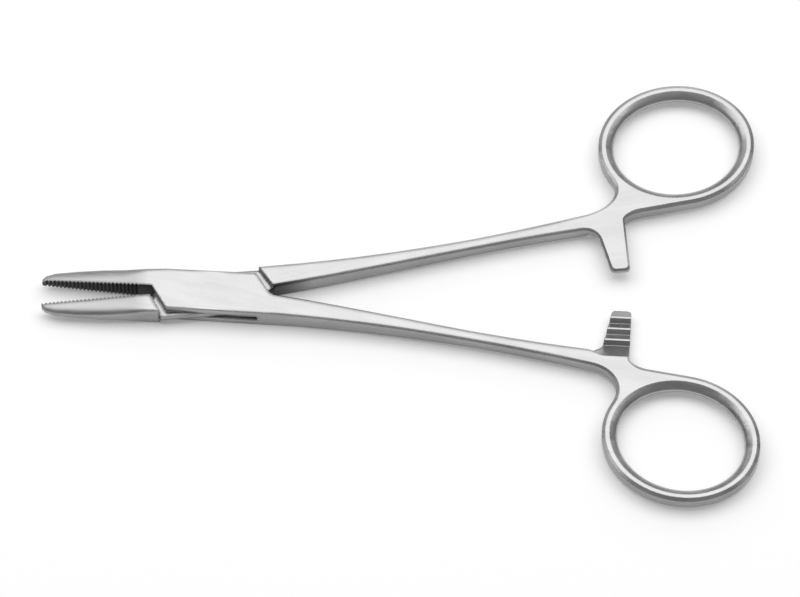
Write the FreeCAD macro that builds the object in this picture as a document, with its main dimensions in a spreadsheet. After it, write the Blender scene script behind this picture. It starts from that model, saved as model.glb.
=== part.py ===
"""Surgical needle holder, 16 cm long, with a box lock, serrated jaws, a ratchet and two finger rings.

Millimetres, +Z up. The origin lies on the hinge axis in the plane of the table, +X points from the hinge to
the finger rings and +Y to the ring of the tongue half. Both halves are drawn closed, in an arm frame whose
origin is the hinge at mid thickness, with the shank at +Y and the jaw at -Y. The box half is turned over
about X, so that its ratchet faces the other one, and then each half is opened by half the rest opening.
"""

import FreeCAD, Part
import Sketcher
import math
import os

DIMENSIONS = {
    # the length is that of a closed arm, from the tip of its jaw to the far side of its ring
    "overall_length": 160.4,
    # pose and box lock; the cheeks are the two walls of the box, the tongue runs between them
    "rest_opening": 8.0,
    "box_thickness": 4.9,
    "box_half_width": 5.1,
    "box_edge_radius": 0.35,
    "crotch_distance": 12.95,
    "cheek_end_angle": 34.0,
    "slot_end_angle": 25.0,
    "tongue_thickness": 1.35,
    "tongue_play": 0.08,
    "tongue_end_clearance": 0.35,
    "tongue_set_back": 0.1,
    "tongue_root_depth": 1.0,
    "neck_run": 3.4,
    "cut_overreach": 2.0,
    "jaw_shoulder_clearance": 0.5,
    "jaw_shoulder_angle": 22.5,
    "shank_shoulder_clearance": 0.85,
    "shank_shoulder_angle": 29.0,
    # hinge pin, a rivet whose ends are spread into the cheeks
    "pin_diameter": 3.2,
    "pin_head_spread": 0.4,
    "pin_head_depth": 0.8,
    "pin_running_clearance": 0.05,
    "pin_seat_clearance": 0.01,
    # jaws, from the box to the tip; widths are measured from the line where the jaws meet
    "jaw_face_tilt_box": 1.5,
    "jaw_face_tilt_tongue": 0.9,
    "jaw_root_x": 10.5,
    "jaw_root_width": 4.83,
    "jaw_neck_run": 4.0,
    "jaw_neck_width": 4.5,
    "jaw_neck_crown_run": 0.9,
    "jaw_neck_crown_drop": 0.5,
    "jaw_crown_growth": 0.35,
    "jaw_middle_run": 7.5,
    "jaw_middle_width": 4.2,
    "jaw_front_run": 8.0,
    "jaw_front_width": 3.4,
    "jaw_nose_run": 4.6,
    "jaw_nose_width": 2.6,
    "jaw_cap_run": 2.0,
    "jaw_cap_width": 1.75,
    "jaw_tip_run": 0.7,
    "jaw_tip_width": 0.95,
    "jaw_tip_thickness": 2.3,
    "jaw_cap_drop": 0.05,
    "jaw_tip_drop": 0.3,
    "jaw_crown_run": 2.8,
    "jaw_crown_drop": 1.15,
    "jaw_edge_share": 0.8,
    "jaw_face_gap": 0.03,
    "tooth_count": 24,
    "tooth_pitch": 0.86,
    "tooth_depth": 0.4,
    "tooth_land": 0.12,
    "throat_length": 3.05,
    "throat_relief": 0.15,
    # shanks: outer and inner outline at four stations from the box to the ring
    "shank_start_x": 13.5,
    "shank_first_share": 0.319,
    "shank_second_share": 0.66,
    "shank_start_outer": 5.4,
    "shank_first_outer": 6.7,
    "shank_second_outer": 9.55,
    "shank_end_outer": 13.66,
    "shank_start_inner": 0.1,
    "shank_first_inner": 3.15,
    "shank_second_inner": 6.8,
    "shank_end_inner": 9.6,
    "taper_run": 44.5,
    "handle_thickness": 3.3,
    "bevel_depth": 0.5,
    "shank_bevel_width": 0.55,
    "box_bevel": 0.35,
    # finger rings, placed from the end of the shank
    "ring_reach_box": 20.3,
    "ring_reach_tongue": 21.7,
    "ring_rise_box": 17.4,
    "ring_rise_tongue": 16.7,
    "ring_tilt_box": 19.0,
    "ring_tilt_tongue": 7.0,
    "ring_flat_radius": 14.97,
    "ring_ovality": 0.82,
    "ring_flat_width": 0.8,
    "ring_bevel_width": 0.8,
    "ring_inner_round": 1.8,
    "web_ring_angle": 208.0,
    "bar_ring_angle": 277.0,
    "web_fullness": 0.55,
    # ratchet bars, placed from the end of the shank; heights are measured from the closing line
    "bar_fillet_run": 1.5,
    "bar_offset": 2.5,
    "bar_root_width": 5.8,
    "bar_tip_width": 4.4,
    "bar_fillet_drop": 3.0,
    "bar_right_rise": 1.85,
    "bar_fillet_reach": 4.0,
    "bar_fillet_fullness": 0.5,
    "bar_corner_fullness": 0.6,
    "bar_overlap": 1.65,
    "bar_corner": 1.0,
    "bar_bevel": 0.45,
    "ratchet_clearance": 0.06,
    "ratchet_count": 3,
    "ratchet_pitch": 2.87,
    "ratchet_setback": 1.75,
    "ratchet_land": 0.4,
    "ratchet_drop": 0.75,
    "ratchet_depth": 1.05,
    "ratchet_tip_depth": 0.5,
    "ramp_top_rise": 1.75,
    "ramp_middle_drop": 0.8,
}

doc = FreeCAD.newDocument("needle_holder")
sheet = doc.addObject("Spreadsheet::Sheet", "dimensions")
for row, (alias, value) in enumerate(DIMENSIONS.items(), start=1):
    sheet.set(f"A{row}", alias)
    sheet.set(f"B{row}", str(value))
    sheet.setAlias(f"B{row}", alias)
doc.recompute()


def size(alias):
    """One driving dimension, read from the sheet."""
    return float(getattr(sheet, alias))


def bind(target, prop, expression):
    """Ties a property to the sheet; each # in the expression stands for the sheet's name."""
    target.setExpression(prop, expression.replace("#", "dimensions."))


def tangent(alias):
    return math.tan(math.radians(size(alias)))


# Plane curves


upright = FreeCAD.Vector(0, 0, 1)


def point(x, y):
    return FreeCAD.Vector(x, y, 0)


def run_of_lines(corners):
    """Straight lines from corner to corner."""
    return [Part.LineSegment(a, b) for a, b in zip(corners, corners[1:])]


def polygon(corners):
    return run_of_lines(corners + corners[:1])


def bezier(*poles):
    curve = Part.BezierCurve()
    curve.setPoles(list(poles))
    return curve.toBSpline()


def corner_arc(x, y, run, fall, start_angle):
    """Quarter ellipse about (x, y), counterclockwise from the start angle; run is along x, fall along y."""
    first, last = math.radians(start_angle), math.radians(start_angle + 90)
    if abs(run - fall) < 0.001:
        return Part.ArcOfCircle(Part.Circle(point(x, y), upright, run), first, last)
    if run > fall:
        ellipse = Part.Ellipse(point(x + run, y), point(x, y + fall), point(x, y))
        return Part.ArcOfEllipse(ellipse, first, last)
    ellipse = Part.Ellipse(point(x, y + fall), point(x - run, y), point(x, y))
    return Part.ArcOfEllipse(ellipse, first - math.pi / 2, last - math.pi / 2)


def cubic(stations):
    """The cubic y(x) through four plan stations."""
    def height(x):
        total = 0
        for xi, yi in stations:
            others = [xj for xj, _ in stations if xj != xi]
            total += yi * math.prod((x - xj) / (xi - xj) for xj in others)
        return total
    return height


def slope(height, x, step=0.01):
    return (height(x + step) - height(x - step)) / (2 * step)


def cubic_edge(height, x0, x1, shift):
    """The curve of a cubic y(x) from x0 to x1, moved along Y by the shift."""
    third = (x1 - x0) / 3
    return bezier(point(x0, height(x0) + shift),
                  point(x0 + third, height(x0) + shift + third * slope(height, x0)),
                  point(x1 - third, height(x1) + shift - third * slope(height, x1)),
                  point(x1, height(x1) + shift))


def blend(start, start_direction, end, end_direction, fullness):
    """Smooth corner, tangent to both directions and drawn towards the point where they cross."""
    across = start_direction.x * end_direction.y - start_direction.y * end_direction.x
    gap = end - start
    reach = (gap.x * end_direction.y - gap.y * end_direction.x) / across
    corner = start + start_direction * reach
    return bezier(start, start + (corner - start) * fullness, end + (corner - end) * fullness, end)


# Sketches and features of a body


def sketch(body, name, role, geometry, offset=""):
    """Sketch on one of the body's origin planes, moved along its normal by an expression."""
    drawn = body.newObject("Sketcher::SketchObject", name)
    support = next(feature for feature in body.Origin.OriginFeatures if feature.Role == role)
    drawn.AttachmentSupport = [(support, "")]
    drawn.MapMode = "FlatFace"
    drawn.addGeometry(geometry, False)
    if offset:
        bind(drawn, "AttachmentOffset.Base.z", offset)
    return drawn


def loft(body, name, sections, ruled=False, kind="PartDesign::AdditiveLoft"):
    feature = body.newObject(kind, name)
    feature.Profile = sections[0]
    feature.Sections = sections[1:]
    feature.Ruled = ruled
    return feature


def through_middle(body, kind, name, profile, length):
    """Pad or pocket that reaches equally far to both sides of its sketch."""
    feature = body.newObject(kind, name)
    feature.Profile = profile
    feature.SideType = "Symmetric"
    bind(feature, "Length", length)
    return feature


# Jaw: a tapering bar with a crowned back, cut to the toothed face on the line where the jaws meet


jaw_neck_x = size("jaw_root_x") + size("jaw_neck_run")
jaw_middle_x = jaw_neck_x + size("jaw_middle_run")
jaw_front_x = jaw_middle_x + size("jaw_front_run")
jaw_nose_x = jaw_front_x + size("jaw_nose_run")
jaw_length = size("jaw_middle_run") + size("jaw_front_run") + size("jaw_nose_run")
jaw_width = cubic([(jaw_neck_x, size("jaw_neck_width")), (jaw_middle_x, size("jaw_middle_width")),
                   (jaw_front_x, size("jaw_front_width")), (jaw_nose_x, size("jaw_nose_width"))])


def jaw_section(body, name, lean, distance, offset, width, drop=0.0):
    """Section across the jaw at a distance from the hinge: flat inner side, crowned towards the back."""
    past_neck = max(distance - jaw_neck_x, 0.0)
    full = size("box_thickness")
    half = (full + (size("jaw_tip_thickness") - full) * past_neck / jaw_length) / 2 - drop
    growth = size("jaw_crown_growth") * past_neck
    run = min(size("jaw_neck_crown_run") + growth, size("jaw_crown_run"), size("jaw_edge_share") * width)
    fall = size("jaw_neck_crown_drop") * (1 + growth)
    fall = min(fall, size("jaw_crown_drop"), size("jaw_edge_share") * half)
    if distance < jaw_neck_x:
        run = fall = size("box_edge_radius")
    inner_side = lean * distance + size("tooth_depth") + size("throat_relief")
    back = lean * distance - width
    outline = run_of_lines([point(inner_side, -half), point(inner_side, half), point(back + run, half)])
    outline.append(corner_arc(back + run, half - fall, run, fall, 90))
    outline.append(Part.LineSegment(point(back, half - fall), point(back, fall - half)))
    outline.append(corner_arc(back + run, fall - half, run, fall, 180))
    outline.append(Part.LineSegment(point(back + run, -half), point(inner_side, -half)))
    return sketch(body, name, "YZ_Plane", outline, f"-({offset})")


def add_jaw(body, lean):
    """Full thickness up to the neck, a steady taper from there to the nose and a blunt tip."""
    neck = "#jaw_root_x + #jaw_neck_run"
    root = jaw_section(body, "jaw_root_section", lean, size("jaw_root_x"), "#jaw_root_x",
                       size("jaw_root_width"))
    end = jaw_section(body, "jaw_neck_section", lean, jaw_neck_x, neck, size("jaw_neck_width"))
    loft(body, "jaw_root", [root, end], ruled=True)
    sections = []
    steps = 4
    for step in range(steps + 1):
        x = jaw_neck_x + jaw_length * step / steps
        offset = f"{neck} + (#jaw_middle_run + #jaw_front_run + #jaw_nose_run) * {step} / {steps}"
        sections.append(jaw_section(body, f"jaw_section_{step}", lean, x, offset, jaw_width(x)))
    nose = f"{neck} + #jaw_middle_run + #jaw_front_run + #jaw_nose_run"
    cap_x = jaw_nose_x + size("jaw_cap_run")
    sections.append(jaw_section(body, "jaw_cap_section", lean, cap_x, f"{nose} + #jaw_cap_run",
                                size("jaw_cap_width"), size("jaw_cap_drop")))
    sections.append(jaw_section(body, "jaw_tip_section", lean, cap_x + size("jaw_tip_run"),
                                f"{nose} + #jaw_cap_run + #jaw_tip_run", size("jaw_tip_width"),
                                size("jaw_tip_drop")))
    loft(body, "jaw", sections, ruled=True)


def add_jaw_face(body, lean, stagger):
    """Cuts the meeting face: a relieved throat, then V grooves straight across, up to the tip."""
    along = point(-1, lean).normalize()
    across = point(-along.y, along.x)
    if across.y < 0:
        across = across * -1

    def place(distance, height):
        return along * distance + across * height

    face = -size("jaw_face_gap") / 2
    pitch = size("tooth_pitch")
    land = size("tooth_land")
    throat = size("crotch_distance")
    first = throat + size("throat_length")
    far = jaw_nose_x + jaw_length
    clear = size("box_half_width")
    corners = [point(tangent("cheek_end_angle") * clear - throat, clear), point(-throat, lean * throat),
               place(throat, face - size("throat_relief")), place(first, face - size("throat_relief")),
               place(first, face)]
    for tooth in range(int(size("tooth_count"))):
        start = first + (tooth + stagger) * pitch
        corners += [place(start + land, face), place(start + (land + pitch) / 2, face - size("tooth_depth")),
                    place(start + pitch, face)]
    corners += [place(far, face), place(far, clear)]
    profile = sketch(body, "jaw_face_profile", "XY_Plane", polygon(corners))
    through_middle(body, "PartDesign::Pocket", "jaw_face", profile, "2 * #box_thickness")


# Shank: a bar of eight sides, thick at the box and thin from the end of its taper

jaw_reach = jaw_nose_x + size("jaw_cap_run") + size("jaw_tip_run")
ring_outer_radius = (size("ring_flat_radius") + size("ring_ovality") + size("ring_flat_width")
                     + size("ring_bevel_width"))
shank_end = size("overall_length") - jaw_reach - size("ring_reach_tongue") - ring_outer_radius
shank_run = shank_end - size("shank_start_x")
shank_x = [size("shank_start_x") + shank_run * share
           for share in (0, size("shank_first_share"), size("shank_second_share"), 1)]
shank_names = ("start", "first", "second", "end")
outer = cubic([(x, size(f"shank_{name}_outer")) for x, name in zip(shank_x, shank_names)])
inner = cubic([(x, size(f"shank_{name}_inner")) for x, name in zip(shank_x, shank_names)])
taper_end = size("shank_start_x") + size("taper_run")


def shank_section(body, name, x, offset, share):
    """Eight-sided section; the share runs from 0 at the box to 1 at the end of the taper."""
    half = (size("box_thickness") * (1 - share) + size("handle_thickness") * share) / 2
    width = size("box_bevel") * (1 - share) + size("shank_bevel_width") * share
    depth = size("box_bevel") * (1 - share) + size("bevel_depth") * share
    low, high = inner(x), outer(x)
    corners = [point(low + width, -half), point(high - width, -half), point(high, depth - half),
               point(high, half - depth), point(high - width, half), point(low + width, half),
               point(low, half - depth), point(low, depth - half)]
    return sketch(body, name, "YZ_Plane", polygon(corners), offset)


def add_shank(body):
    sections = []
    steps = 3
    for step in range(steps + 1):
        share = step / steps
        x = size("shank_start_x") + size("taper_run") * share
        offset = f"#shank_start_x + #taper_run * {step} / {steps}"
        sections.append(shank_section(body, f"shank_section_{step}", x, offset, share))
    loft(body, "shank", sections)


# Handle: the thin end of the shank, the web, the finger ring and the ratchet bar, built as two layers that
# meet at mid thickness. Each layer has upright walls and a bevel up to its flat face.

bar_left = shank_x[3] + size("bar_offset")
bar_right = bar_left + size("bar_root_width")
bar_tip = -size("bar_overlap")
bar_fillet_x = shank_x[3] - size("bar_fillet_run")


def ring_ellipse(arm, growth):
    """Ellipse of an arm's ring, larger by the growth than the inner edge of its flat face."""
    centre = point(shank_x[3] + size(f"ring_reach_{arm}"), outer(shank_x[3]) + size(f"ring_rise_{arm}"))
    tilt = math.radians(size(f"ring_tilt_{arm}"))
    along = point(math.cos(tilt), math.sin(tilt))
    across = point(-along.y, along.x)
    major = size("ring_flat_radius") + size("ring_ovality") + growth
    minor = size("ring_flat_radius") - size("ring_ovality") + growth
    return Part.Ellipse(centre + along * major, centre + across * minor, centre)


def handle_outline(arm, flat, with_bar, ramp_height=0.0):
    """Outline of a layer, counterclockwise from the shank's inner side.

    flat draws the edge of the flat face instead of the walls, with_bar adds the ratchet bar, and without it
    the outline ends at the ramp behind the other layer's bar, at the ramp height.
    """
    shank_inset = size("shank_bevel_width") if flat else 0.0
    bar_inset = size("bar_bevel") if flat else 0.0
    ring_growth = size("ring_flat_width") + (0.0 if flat else size("ring_bevel_width"))
    ellipse = ring_ellipse(arm, ring_growth)
    tilt = size(f"ring_tilt_{arm}")
    arrive, leave = math.radians(size("bar_ring_angle") - tilt), math.radians(size("web_ring_angle") - tilt)
    left, right = bar_left + bar_inset, bar_right - bar_inset
    right_root = point(right, inner(shank_x[3]) + size("bar_right_rise"))
    fillet_start = point(bar_fillet_x, inner(bar_fillet_x) + shank_inset)
    fillet_direction = point(1, slope(inner, bar_fillet_x))

    edges = [cubic_edge(inner, taper_end, bar_fillet_x, shank_inset)]
    if with_bar:
        corner = size("bar_corner")
        tip_left = bar_right - size("bar_tip_width") + bar_inset
        left_root = point(left, inner(shank_x[3]) - size("bar_fillet_drop"))
        left_tip = point(tip_left, bar_tip + bar_inset + corner)
        left_direction = left_tip - left_root
        tip_start = point(tip_left + corner, bar_tip + bar_inset)
        tip_end = point(right - corner, bar_tip + bar_inset)
        right_tip = point(right, bar_tip + bar_inset + corner)
        fullness = size("bar_corner_fullness")
        edges += [blend(fillet_start, fillet_direction, left_root, left_direction, fullness),
                  Part.LineSegment(left_root, left_tip),
                  blend(left_tip, left_direction, tip_start, point(1, 0), fullness),
                  Part.LineSegment(tip_start, tip_end),
                  blend(tip_end, point(1, 0), right_tip, point(0, 1), fullness),
                  Part.LineSegment(right_tip, right_root)]
    else:
        ramp_left = point(left, ramp_height)
        ramp_right = point(right, ramp_height)
        edges += [bezier(fillet_start, fillet_start + fillet_direction * ((left - bar_fillet_x) / 2),
                         ramp_left - point((left - bar_fillet_x) / 3, 0), ramp_left),
                  Part.LineSegment(ramp_left, ramp_right),
                  Part.LineSegment(ramp_right, right_root)]
    ring_start, ring_end = ellipse.value(arrive), ellipse.value(leave)
    web_end = point(shank_x[3], outer(shank_x[3]) - shank_inset)
    ring_direction = ellipse.tangent(arrive)[0]
    fillet_run = (right + size("bar_fillet_reach") - ring_start.x) / ring_direction.x
    fillet_end = ring_start + ring_direction * fillet_run
    edges += [blend(right_root, point(0, 1), fillet_end, ring_direction, size("bar_fillet_fullness")),
              Part.LineSegment(fillet_end, ring_start),
              Part.ArcOfEllipse(ellipse, arrive, leave + 2 * math.pi),
              blend(ring_end, ellipse.tangent(leave)[0], web_end, point(1, slope(outer, shank_x[3])),
                    size("web_fullness")),
              cubic_edge(outer, shank_x[3], taper_end, -shank_inset),
              Part.LineSegment(point(taper_end, outer(taper_end) - shank_inset),
                               point(taper_end, inner(taper_end) + shank_inset))]
    return edges


def add_handle(body, arm):
    """The upper layer carries the ratchet bar, the lower one ends at the ramp."""
    half = size("handle_thickness") / 2
    wall = half - size("bevel_depth")
    ramp_middle = inner(shank_x[3]) - size("ramp_middle_drop")
    ramp_top = inner(shank_x[3]) + size("ramp_top_rise")
    wall_offset = "(#handle_thickness / 2 - #bevel_depth)"
    upper = [sketch(body, "bar_layer_middle", "XY_Plane", handle_outline(arm, False, True)),
             sketch(body, "bar_layer_wall", "XY_Plane", handle_outline(arm, False, True), wall_offset),
             sketch(body, "bar_layer_face", "XY_Plane", handle_outline(arm, True, True),
                    "#handle_thickness / 2")]
    loft(body, "bar_layer", upper, ruled=True)
    ramp_wall = ramp_middle + (ramp_top - ramp_middle) * wall / half
    lower = [sketch(body, "ramp_layer_middle", "XY_Plane", handle_outline(arm, False, False, ramp_middle)),
             sketch(body, "ramp_layer_wall", "XY_Plane", handle_outline(arm, False, False, ramp_wall),
                    "-" + wall_offset),
             sketch(body, "ramp_layer_face", "XY_Plane", handle_outline(arm, True, False, ramp_top),
                    "-#handle_thickness / 2")]
    loft(body, "ramp_layer", lower, ruled=True)


def cut_finger_opening(body, arm):
    """Opening whose wall bulges inwards to half a round, between the edges of the two flat faces."""
    half = size("handle_thickness") / 2
    margin = size("bevel_depth")
    bulge = size("ring_inner_round")
    beyond = bulge * ((1 + margin / half) ** 2 - 1)
    sections = [sketch(body, "opening_below", "XY_Plane", [ring_ellipse(arm, beyond)],
                       "-(#handle_thickness / 2 + #bevel_depth)"),
                sketch(body, "opening_middle", "XY_Plane", [ring_ellipse(arm, -bulge)]),
                sketch(body, "opening_above", "XY_Plane", [ring_ellipse(arm, beyond)],
                       "#handle_thickness / 2 + #bevel_depth")]
    loft(body, "finger_opening", sections, kind="PartDesign::SubtractiveLoft")


def cut_ratchet(body):
    """Ratchet teeth under the bar: a land, a steep drop behind it and a slope up to the next land."""
    crest = size("ratchet_clearance")
    valley = crest + size("ratchet_depth")
    low = -size("handle_thickness")
    land, drop = size("ratchet_land"), size("ratchet_drop")
    before = bar_tip - size("bar_corner")
    corners = [point(before, low), point(before, crest + size("ratchet_tip_depth")),
               point(bar_tip, crest + size("ratchet_tip_depth"))]
    for tooth in range(int(size("ratchet_count"))):
        start = bar_tip + size("ratchet_setback") + tooth * size("ratchet_pitch")
        corners += [point(start, crest), point(start + land, crest), point(start + land + drop, valley)]
    ramp_middle = inner(shank_x[3]) - size("ramp_middle_drop")
    corners += [point(ramp_middle, 0), point(ramp_middle, low)]
    profile = sketch(body, "ratchet_profile", "YZ_Plane", polygon(corners),
                     "#overall_length - #jaw_root_x - #jaw_neck_run - #jaw_middle_run - #jaw_front_run"
                     " - #jaw_nose_run - #jaw_cap_run - #jaw_tip_run - #ring_reach_tongue - #ring_flat_radius"
                     " - #ring_ovality - #ring_flat_width - #ring_bevel_width + #bar_offset")
    through_middle(body, "PartDesign::Pocket", "ratchet", profile, "2 * #bar_root_width + #bar_fillet_run")


def add_arm(body, arm, lean, stagger):
    """Everything that the two halves share."""
    add_jaw(body, lean)
    add_shank(body)
    add_handle(body, arm)
    cut_finger_opening(body, arm)
    cut_ratchet(body)
    add_jaw_face(body, lean, stagger)


# Hinge pin: straight through the tongue, with both ends spread into countersinks


def pin_profile(clearance):
    half = size("box_thickness") / 2
    radius = size("pin_diameter") / 2 + clearance
    head = radius + size("pin_head_spread")
    shoulder = half - size("pin_head_depth")
    return polygon([point(0, -half), point(head, -half), point(radius, -shoulder), point(radius, shoulder),
                    point(head, half), point(0, half)])


def turn(body, kind, name, profile):
    """Full turn about the hinge axis."""
    feature = body.newObject(kind, name)
    feature.Profile = profile
    feature.ReferenceAxis = (profile, ["V_Axis"])
    feature.Angle = 360
    return feature


def make_hinge_pin():
    body = doc.addObject("PartDesign::Body", "hinge_pin")
    turn(body, "PartDesign::Revolution", "rivet", sketch(body, "rivet_profile", "XZ_Plane", pin_profile(0.0)))
    return body


# Box half: two cheeks with a slot between them


def make_box_half():
    body = doc.addObject("PartDesign::Body", "box_half")
    lean = -tangent("jaw_face_tilt_box")
    crotch = size("crotch_distance")
    side = size("box_half_width")
    cheek_run = tangent("cheek_end_angle") * side
    start = size("shank_start_x")
    block = sketch(body, "box_profile", "XY_Plane", polygon([
        point(-size("jaw_root_x"), -side), point(crotch - cheek_run, -side), point(crotch, 0),
        point(start, inner(start)), point(start, outer(start)), point(cheek_run - crotch, side),
        point(-crotch, lean * crotch)]))
    box = through_middle(body, "PartDesign::Pad", "box", block, "#box_thickness")
    doc.recompute()
    long_edges = []
    for number, edge in enumerate(box.Shape.Edges, start=1):
        middle = edge.valueAt((edge.FirstParameter + edge.LastParameter) / 2)
        level = abs(abs(middle.z) - size("box_thickness") / 2) < 0.001
        if level and abs(middle.y) > side - size("box_edge_radius"):
            long_edges.append(f"Edge{number}")
    rounding = body.newObject("PartDesign::Fillet", "box_edges")
    rounding.Base = (box, long_edges)
    bind(rounding, "Radius", "#box_edge_radius")
    add_arm(body, "box", lean, 0.0)

    reach = side + size("cut_overreach")
    end_run = tangent("slot_end_angle") * reach
    slot = sketch(body, "slot_profile", "XY_Plane", polygon([
        point(-crotch, 0), point(end_run - crotch, -reach), point(crotch, -reach), point(crotch, 0),
        point(crotch - end_run, reach), point(-crotch, reach)]))
    through_middle(body, "PartDesign::Pocket", "slot", slot, "#tongue_thickness + 2 * #tongue_play")
    seat = sketch(body, "rivet_seat_profile", "XZ_Plane", pin_profile(size("pin_seat_clearance")))
    turn(body, "PartDesign::Groove", "rivet_seat", seat)
    return body


# Tongue half: full thickness outside the box, a thin tongue between its two shoulders


def make_tongue_half():
    body = doc.addObject("PartDesign::Body", "tongue_half")
    body.AllowCompound = True
    lean = tangent("jaw_face_tilt_tongue")
    crotch = size("crotch_distance")
    side = size("box_half_width")
    jaw_shoulder = crotch + size("jaw_shoulder_clearance")
    shank_shoulder = crotch + size("shank_shoulder_clearance")
    reach = side + size("cut_overreach")
    start = size("shank_start_x")

    neck = [shank_section(body, "neck_section_0", start - size("neck_run"), "#shank_start_x - #neck_run", 0),
            shank_section(body, "neck_section_1", start, "#shank_start_x", 0)]
    loft(body, "shank_neck", neck, ruled=True)
    add_arm(body, "tongue", lean, 0.5)

    gap = sketch(body, "shoulder_profile", "XY_Plane", polygon([
        point(-jaw_shoulder, 0), point(tangent("jaw_shoulder_angle") * reach - jaw_shoulder, -reach),
        point(shank_shoulder, -reach), point(shank_shoulder, 0),
        point(shank_shoulder - tangent("shank_shoulder_angle") * reach, reach), point(-jaw_shoulder, reach)]))
    through_middle(body, "PartDesign::Pocket", "shoulders", gap, "2 * #box_thickness")

    jaw_side = side - size("tongue_set_back")
    shank_side = size("shank_start_outer") - size("tongue_set_back")
    end_angle = tangent("slot_end_angle")
    play = size("tongue_end_clearance")
    end = crotch - play
    jaw_root = jaw_shoulder + size("tongue_root_depth")
    shank_root = shank_shoulder + size("tongue_root_depth")
    face = lean * crotch - size("jaw_face_gap") / 2 - size("throat_relief")
    outline = polygon([
        point(-jaw_root, face), point(end_angle * face - end, face),
        point(end_angle * shank_side - end, shank_side),
        point(shank_shoulder - tangent("shank_shoulder_angle") * shank_side, shank_side),
        point(shank_root, shank_side / 2), point(shank_root, play), point(crotch + play, play),
        point(end, 0),
        point(end - end_angle * jaw_side, -jaw_side),
        point(tangent("jaw_shoulder_angle") * jaw_side - jaw_shoulder, -jaw_side),
        point(-jaw_root, -jaw_side / 2)])
    bore = Part.Circle(point(0, 0), upright, size("pin_diameter") / 2)
    profile = sketch(body, "tongue_profile", "XY_Plane", outline + [bore])
    profile.addConstraint(Sketcher.Constraint("Coincident", len(outline), 3, -1, 1))
    profile.addConstraint(Sketcher.Constraint("Radius", len(outline), size("pin_diameter") / 2))
    bind(profile, "Constraints[1]", "#pin_diameter / 2 + #pin_running_clearance")
    through_middle(body, "PartDesign::Pad", "tongue", profile, "#tongue_thickness")
    return body


bodies = [make_box_half(), make_tongue_half(), make_hinge_pin()]
doc.recompute()

# Rest pose: the box half turned over, both halves opened about the hinge and raised onto the table
opening = size("rest_opening") / 2
turned_over = FreeCAD.Rotation(FreeCAD.Vector(1, 0, 0), 180)
for body, rotation in zip(bodies, (FreeCAD.Rotation(upright, -opening) * turned_over,
                                   FreeCAD.Rotation(upright, opening), FreeCAD.Rotation())):
    body.Placement = FreeCAD.Placement(FreeCAD.Vector(0, 0, size("box_thickness") / 2), rotation)
    body.Label = body.Name
doc.recompute()

# Every feature must have worked, every cut must have cut, and each piece must be one valid solid
for item in doc.Objects:
    if "Invalid" in item.State or "Error" in item.State:
        raise RuntimeError(f"{item.Name} failed: {item.State}")
for body in bodies:
    volume = 0
    for feature in body.Group:
        if not hasattr(feature, "BaseFeature"):
            continue
        cutting = "Pocket" in feature.TypeId or "Groove" in feature.TypeId or "Subtractive" in feature.TypeId
        if cutting and feature.Shape.Volume > volume - 0.001:
            raise RuntimeError(f"{feature.Name} cut nothing")
        volume = feature.Shape.Volume
    if body.Shape.isNull() or not body.Shape.isValid() or len(body.Shape.Solids) != 1:
        raise RuntimeError(f"{body.Label} is not one valid solid")
    print(body.Label, "volume", round(body.Shape.Volume, 2), "faces", len(body.Shape.Faces))

os.makedirs("parts", exist_ok=True)
for body in bodies:
    body.Shape.exportStep(f"parts/{body.Label}.step")
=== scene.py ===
"""Surgical needle holder on a white studio table.

Metres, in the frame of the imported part: +X from the hinge to the finger rings, +Y to the ring of the
tongue half, +Z up, with the origin on the hinge axis in the plane of the table.
"""

import math

import bpy
import numpy as np
from mathutils import Matrix, Vector


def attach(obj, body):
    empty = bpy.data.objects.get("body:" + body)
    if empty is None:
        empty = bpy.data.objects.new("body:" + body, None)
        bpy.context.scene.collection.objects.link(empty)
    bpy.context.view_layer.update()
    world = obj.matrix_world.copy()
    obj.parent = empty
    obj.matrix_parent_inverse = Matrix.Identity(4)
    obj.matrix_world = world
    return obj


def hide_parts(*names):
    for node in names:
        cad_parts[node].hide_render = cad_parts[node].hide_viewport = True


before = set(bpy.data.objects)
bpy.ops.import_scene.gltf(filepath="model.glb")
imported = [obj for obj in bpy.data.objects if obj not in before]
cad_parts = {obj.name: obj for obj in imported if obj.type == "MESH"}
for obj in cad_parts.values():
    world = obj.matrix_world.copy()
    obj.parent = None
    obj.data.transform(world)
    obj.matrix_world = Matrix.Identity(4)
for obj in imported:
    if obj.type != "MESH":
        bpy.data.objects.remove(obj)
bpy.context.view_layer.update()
scene = bpy.context.scene

# Camera: the photograph is taken from about 1.5 m with a long lens, looking down at 58 degrees
# across the instrument, which lies almost level in the picture.

PICTURE = (800, 597)
HINGE_PIXEL = (211.0, 289.8)
PIXELS_PER_METRE = 4560.0
DISTANCE = 1.5
SENSOR_WIDTH = 36
FARTHEST_SEEN = 20
HINGE_TOP = Vector((0, 0, 0.00495))
tilt = math.radians(32)
turn = Matrix.Rotation(math.radians(-0.65), 3, "Z")
right = turn @ Vector((1, 0, 0))
up = turn @ Vector((0, math.cos(tilt), math.sin(tilt)))
forward = turn @ Vector((0, math.sin(tilt), -math.cos(tilt)))
focal_pixels = PIXELS_PER_METRE * DISTANCE
off_right = (HINGE_PIXEL[0] - PICTURE[0] / 2) / focal_pixels
off_up = -(HINGE_PIXEL[1] - PICTURE[1] / 2) / focal_pixels
camera = bpy.data.objects.new("camera", bpy.data.cameras.new("camera"))
scene.collection.objects.link(camera)
camera.data.sensor_width = SENSOR_WIDTH
camera.data.lens = focal_pixels / PICTURE[0] * SENSOR_WIDTH
camera.data.clip_end = FARTHEST_SEEN
axes = Matrix((right, up, -forward)).transposed().to_4x4()
camera.matrix_world = Matrix.Translation(
    HINGE_TOP - DISTANCE * (forward + off_right * right + off_up * up)) @ axes
scene.camera = camera

# Table: a sheet of white paper. It keeps the soft shadow of the instrument, and where light
# reaches it the camera and the steel see it as plain white.

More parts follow.
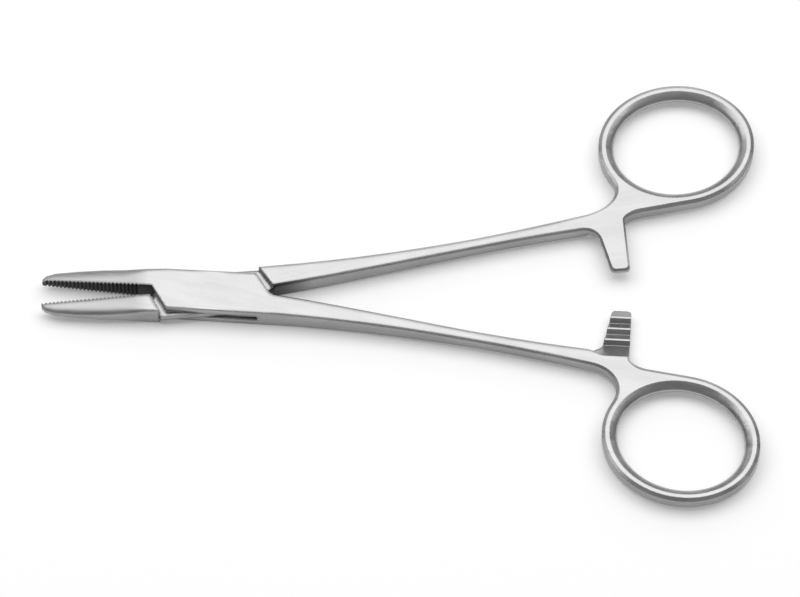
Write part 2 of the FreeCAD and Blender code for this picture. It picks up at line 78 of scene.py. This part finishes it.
TABLE_EDGE = 2.0
PAPER_WHITE = 0.95
PAPER_GLOW = 0.15
table_corners = [(TABLE_EDGE * x, TABLE_EDGE * y, 0)
                 for x, y in ((-1, -1), (1, -1), (1, 1), (-1, 1))]
table_mesh = bpy.data.meshes.new("table")
table_mesh.from_pydata(table_corners, [], [(0, 1, 2, 3)])
table = bpy.data.objects.new("table", table_mesh)
scene.collection.objects.link(table)


def new_material(name):
    """An empty node material: its node tree and its output node."""
    material = bpy.data.materials.new(name)
    material.use_nodes = True
    material.node_tree.nodes.clear()
    output = material.node_tree.nodes.new("ShaderNodeOutputMaterial")
    return material, material.node_tree, output


def add(tree, kind, inputs=None, **settings):
    """A node with its settings, and its inputs set to values or linked from sockets."""
    node = tree.nodes.new("ShaderNode" + kind)
    for key, value in settings.items():
        setattr(node, key, value)
    for key, value in (inputs or {}).items():
        if isinstance(value, bpy.types.NodeSocket):
            tree.links.new(value, node.inputs[key])
        else:
            node.inputs[key].default_value = value
    return node


def combine(tree, operation, first, second=0.0):
    """One Math node over two numbers or sockets."""
    return add(tree, "Math", {0: first, 1: second}, operation=operation).outputs[0]


paper, tree, output = new_material("white_paper")
rays = add(tree, "LightPath").outputs
seen = combine(tree, "ADD", rays["Is Camera Ray"], rays["Is Glossy Ray"])
seen = combine(tree, "ADD", seen, rays["Is Transmission Ray"])
glow = combine(tree, "MULTIPLY", seen, PAPER_GLOW)
surface = add(tree, "AddShader", {
    0: add(tree, "BsdfDiffuse", {"Color": (PAPER_WHITE, PAPER_WHITE, PAPER_WHITE, 1)}).outputs[0],
    1: add(tree, "Emission", {"Color": (1, 1, 1, 1), "Strength": glow}).outputs[0]})
tree.links.new(surface.outputs[0], output.inputs["Surface"])
table_mesh.materials.append(paper)

# Light: a wide softbox above and behind the instrument, which the flat faces mirror to the camera,
# a weaker one low behind it, which shades the rounded backs, and a dim, even room.

ROOM_LEVEL = 0.27
MIDDLE = (0.04, 0, 0)


def softbox(name, place, width, height, radiance):
    """A rectangular lamp that looks at the middle of the instrument; radiance in W/(m2 sr)."""
    lamp = bpy.data.lights.new(name, "AREA")
    lamp.shape = "RECTANGLE"
    lamp.size, lamp.size_y = width, height
    lamp.energy = radiance * width * height * math.pi
    holder = bpy.data.objects.new(name, lamp)
    scene.collection.objects.link(holder)
    facing = (Vector(place) - Vector(MIDDLE)).to_track_quat("Z", "Y").to_matrix().to_4x4()
    holder.matrix_world = Matrix.Translation(place) @ facing


softbox("softbox_above", place=(0.04, 0.375, 1.19), width=3.0, height=1.2, radiance=1.66)
softbox("softbox_behind", place=(0.04, 1.34, 0.78), width=3.0, height=0.83, radiance=0.5)
world = bpy.data.worlds.new("room")
world.use_nodes = True
background = world.node_tree.nodes["Background"]
background.inputs["Color"].default_value = (1, 1, 1, 1)
background.inputs["Strength"].default_value = ROOM_LEVEL
scene.world = world
scene.view_settings.view_transform = "Standard"

# The two arms: each is one forging of stainless steel from the jaw to the ring, ground lengthwise.
# The jaws are left more matte and the rings show no lines. The faces inside the lock are painted near
# black as painted shade for the lock's narrow gaps, and the toothed faces near black, partly their
# duller steel and partly painted shade between the closed jaws. The upright walls and the inner walls
# next to the lock get painted shade too.

STEEL_GREY = 0.465
STEEL_ROUGHNESS = 0.27
DARK_LINE, LIGHT_LINE = (0.9, 0.9, 0.9), (1.08, 1.08, 1.085)    # shares of the steel's grey
GRAIN_DEGREES = 11.2
GRAIN_SCALE = (50, 2400, 2400)      # lines 20 mm long and 0.4 mm wide
CLOUD_SCALE = (80, 380, 380)        # clouds 12.5 mm long and 2.6 mm wide
FINE_SCALE = 6000.0
GRAIN_DEPTH = 0.00004
USUAL_NOISE = (0.3, 0.7)            # most of a noise lies between these
GRAIN_ROUGHNESS = (-0.05, 0.05)
CLOUD_ROUGHNESS = (-0.03, 0.06)
CLOUD_SHADE = (-0.6, 0.6)
EDGE_ROUNDING = 0.0012
RING_ROUNDING = 0.0003
ROUNDED_SHARE = 0.85

# Places along X from one state to the other. The last is a distance from the hinge axis.

MATTE_JAW = (-0.0170, -0.0135)
LOCK_END = (0.0105, 0.0115)
SHADED_CORNER = (0.0140, 0.0270)
CRISP_EDGES = (0.076, 0.086)
PLAIN_RING = (0.080, 0.089)
PIN_BORDER = (0.0045, 0.0065)

# How dark a place is, as a share of the way to near black (matte jaw steel and painted shade),
# and how far a wall's normal leans.

MATTE_AND_SHADE_GREY = 0.02
WALL_PAINTED_SHADE, JAW_DARKNESS, CORNER_PAINTED_SHADE = 0.22, 0.15, 0.85
JAW_ROUGHER = 0.09
WALL_LEAN = (0.15, 0.45)
INNER_LEAN = (0.3, 0.8)


def finished_copy(node, name, body):
    """The node's surface with its loose triangles joined and the normals of the solid's faces."""
    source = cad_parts[node].data
    places, normals = np.empty(len(source.vertices) * 3), np.empty(len(source.loops) * 3)
    corners = np.empty(len(source.loops), dtype=int)
    source.vertices.foreach_get("co", places)
    source.corner_normals.foreach_get("vector", normals)
    source.loops.foreach_get("vertex_index", corners)
    joined, index = np.unique(places.reshape(-1, 3), axis=0, return_inverse=True)
    mesh = bpy.data.meshes.new(name)
    mesh.from_pydata(joined.tolist(), [], index.ravel()[corners].reshape(-1, 3).tolist())
    mesh.shade_smooth()
    mesh.normals_split_custom_set(normals.reshape(-1, 3))
    piece = bpy.data.objects.new(name, mesh)
    scene.collection.objects.link(piece)
    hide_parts(node)
    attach(piece, body)
    return piece


def ramp(tree, value, low, high, start=0.0, end=1.0, **settings):
    """Goes from start, where the value is low, to end, where it is high, and stays there."""
    return add(tree, "MapRange", {"Value": value, "From Min": low, "From Max": high,
                                  "To Min": start, "To Max": end}, **settings).outputs[0]


def noise(tree, place, scale, roughness):
    """Noise of four octaves, stretched by the scale along each axis."""
    stretched = add(tree, "Mapping", {"Vector": place, "Scale": scale}).outputs[0]
    return add(tree, "TexNoise", {"Vector": stretched, "Scale": 1.0, "Detail": 4.0,
                                  "Roughness": roughness}).outputs["Fac"]


def matte_and_shade_places(tree, x, jaw, inner_side):
    """How dark an arm is painted by place, from 0 on its flat faces to nearly 1: matte steel and
    painted shade.

    The jaw is a little dark, as its steel is more matte. The upright walls get a little painted shade,
    and the wall on the inner side of the shank, +1 or -1 along Y, gets dark painted shade next to the
    lock, where shade falls in the crotch, which clears over 13 mm.
    """
    facing = add(tree, "SeparateXYZ", {0: add(tree, "TexCoord").outputs["Normal"]}).outputs
    lean = combine(tree, "ABSOLUTE", facing["Z"])
    # Painted shade: upright walls are darker than the flat faces.
    upright = ramp(tree, lean, *WALL_LEAN, WALL_PAINTED_SHADE, 0.0)
    inner = ramp(tree, facing["Y"], INNER_LEAN[0] * inner_side, INNER_LEAN[1] * inner_side)
    inner = combine(tree, "MULTIPLY", inner, ramp(tree, x, *LOCK_END))
    # Painted shade on the inner wall next to the lock, fading out over 13 mm.
    corner = ramp(tree, x, *SHADED_CORNER, CORNER_PAINTED_SHADE, 0.0,
                  interpolation_type="SMOOTHSTEP")
    corner = combine(tree, "MULTIPLY", inner, corner)
    dark = combine(tree, "MAXIMUM", corner, combine(tree, "MULTIPLY", jaw, JAW_DARKNESS))
    return combine(tree, "MAXIMUM", dark, upright)


def soft_edges(tree, place, x, rounding):
    """The surface's normal, rounded off near edges, less on the rings and not on the flush pin."""
    radius = ramp(tree, x, *CRISP_EDGES, rounding, min(rounding, RING_ROUNDING))
    rounded = add(tree, "Bevel", {"Radius": radius}, samples=6).outputs[0]
    level = add(tree, "VectorMath", {0: place, 1: (1, 1, 0)}, operation="MULTIPLY").outputs[0]
    from_hinge = add(tree, "VectorMath", {0: level}, operation="LENGTH").outputs["Value"]
    share = ramp(tree, from_hinge, *PIN_BORDER, 0.0, ROUNDED_SHARE)
    normal = add(tree, "Mix", {"Factor": share, "A": add(tree, "NewGeometry").outputs["Normal"],
                               "B": rounded}, data_type="VECTOR").outputs["Result"]
    return add(tree, "VectorMath", {0: normal}, operation="NORMALIZE").outputs[0]


def steel(name, grain_degrees, grey=STEEL_GREY, roughness=STEEL_ROUGHNESS, relief=0.09,
          rounding=EDGE_ROUNDING, inner_side=0):
    """Ground stainless steel: fine lines along the given direction over long soft clouds.

    With an inner side, +1 or -1 along Y, it is the steel of a whole arm, with its matte jaw and
    painted shade.
    """
    material, tree, output = new_material(name)
    place = add(tree, "TexCoord").outputs["Object"]
    x = add(tree, "SeparateXYZ", {0: place}).outputs["X"]
    turned = {"Vector": place, "Rotation": (0, 0, -math.radians(grain_degrees))}
    along = add(tree, "Mapping", turned).outputs[0]
    grain = add(tree, "Mix", {"Factor": ramp(tree, x, *PLAIN_RING), "B": 0.5,
                              "A": noise(tree, along, GRAIN_SCALE, 0.6)}).outputs["Result"]
    cloud = noise(tree, along, CLOUD_SCALE, 0.55)
    fine = add(tree, "TexNoise", {"Vector": place, "Scale": FINE_SCALE,
                                  "Detail": 2.0}).outputs["Fac"]
    smooth, dull = CLOUD_ROUGHNESS
    rough = combine(tree, "ADD",
                    ramp(tree, cloud, *USUAL_NOISE, roughness + smooth, roughness + dull),
                    ramp(tree, grain, *USUAL_NOISE, *GRAIN_ROUGHNESS))
    shade = combine(tree, "ADD", grain, ramp(tree, cloud, *USUAL_NOISE, *CLOUD_SHADE))
    tint = add(tree, "Mix", {"Factor": shade,
                             "A": (*(grey * share for share in DARK_LINE), 1),
                             "B": (*(grey * share for share in LIGHT_LINE), 1)},
               data_type="RGBA").outputs["Result"]
    if inner_side:
        jaw = ramp(tree, x, *MATTE_JAW, 1.0, 0.0)
        rough = combine(tree, "ADD", rough, combine(tree, "MULTIPLY", jaw, JAW_ROUGHER))
        # The darker matte jaw, and painted shade on the upright walls and on the inner walls by the
        # lock.
        tint = add(tree, "Mix", {"Factor": matte_and_shade_places(tree, x, jaw, inner_side), "A": tint,
                                 "B": (MATTE_AND_SHADE_GREY, MATTE_AND_SHADE_GREY, MATTE_AND_SHADE_GREY, 1)},
                   data_type="RGBA").outputs["Result"]
    bump = add(tree, "Bump", {"Height": combine(tree, "ADD", grain, fine), "Strength": relief,
                              "Distance": GRAIN_DEPTH,
                              "Normal": soft_edges(tree, place, x, rounding)}).outputs[0]
    shader = add(tree, "BsdfPrincipled", {"Base Color": tint, "Metallic": 1.0, "Roughness": rough,
                                          "Normal": bump}).outputs[0]
    tree.links.new(shader, output.inputs["Surface"])
    return material


LOCK_REACH = 0.0143
TEETH_START = 0.0129
TEETH_DEPTH = 0.0006
UPRIGHT_BELOW, ACROSS_BELOW, TOWARDS_ABOVE = 0.3, 0.8, 0.3      # parts of a face's normal
GROUND, IN_LOCK, TOOTHED = 0, 1, 2


def finish_arm(piece, arm_degrees, face_degrees, side):
    """Gives every face of an arm its material: ground steel, painted shade inside the lock or the dark
    toothed jaw face.

    The arm's own frame is turned by arm_degrees. Its lock walls are upright faces near the hinge
    that don't look squarely to the arm's sides. Its toothed face lies close to a plane through the
    hinge axis, which is turned by face_degrees from the jaws' side of X, and looks to the given
    side of that plane.
    """
    mesh = piece.data
    count = len(mesh.polygons)
    normals, centres = np.empty(count * 3), np.empty(count * 3)
    mesh.polygons.foreach_get("normal", normals)
    mesh.polygons.foreach_get("center", centres)
    normals, centres = normals.reshape(-1, 3), centres.reshape(-1, 3)
    arm = math.radians(arm_degrees)
    across = normals @ np.array((-math.sin(arm), math.cos(arm), 0))
    reach = np.hypot(centres[:, 0], centres[:, 1])
    upright = np.abs(normals[:, 2]) < UPRIGHT_BELOW
    lock = upright & (np.abs(across) < ACROSS_BELOW) & (reach < LOCK_REACH)
    face = math.radians(180 - face_degrees)
    out = np.array((-math.sin(face), math.cos(face), 0))
    along = centres @ np.array((math.cos(face), math.sin(face), 0))
    near = (np.abs(centres @ out) < TEETH_DEPTH) & (along > TEETH_START)
    toothed = near & (normals @ out * side > TOWARDS_ABOVE)
    finish = np.where(toothed, TOOTHED, np.where(lock, IN_LOCK, GROUND)).astype(np.int32)
    mesh.polygons.foreach_set("material_index", finish)


# Painted shade: the faces inside the lock get near-black steel in place of the shade in the lock's
# narrow gaps.
lock_shade_steel = steel("lock_face_painted_shade", 90, grey=0.12, roughness=0.42, relief=0.3, rounding=0.0005)
# The toothed faces get near-black steel: partly their duller steel, partly painted shade between the
# closed jaws.
toothed_dull_and_shade_steel = steel("toothed_face_dull_and_shade", 90, grey=0.085, roughness=0.45, relief=0.3,
                      rounding=0.00005)

box_arm = finished_copy("box_half", "box_arm_forging", "box_arm")
for finish in (steel("box_arm_steel", -GRAIN_DEGREES, inner_side=1), lock_shade_steel, toothed_dull_and_shade_steel):
    box_arm.data.materials.append(finish)
finish_arm(box_arm, arm_degrees=-4.0, face_degrees=5.5, side=1)

tongue_arm = finished_copy("tongue_half", "tongue_arm_forging", "tongue_arm")
for finish in (steel("tongue_arm_steel", GRAIN_DEGREES, inner_side=-1), lock_shade_steel, toothed_dull_and_shade_steel):
    tongue_arm.data.materials.append(finish)
finish_arm(tongue_arm, arm_degrees=4.0, face_degrees=-3.1, side=-1)

# Hinge pin: a steel rivet, spread into the cheeks and ground flush with them, so that hardly a
# hairline shows.

pin = finished_copy("hinge_pin", "hinge_rivet", "box_arm")
pin.data.materials.append(steel("pin_steel", -GRAIN_DEGREES))
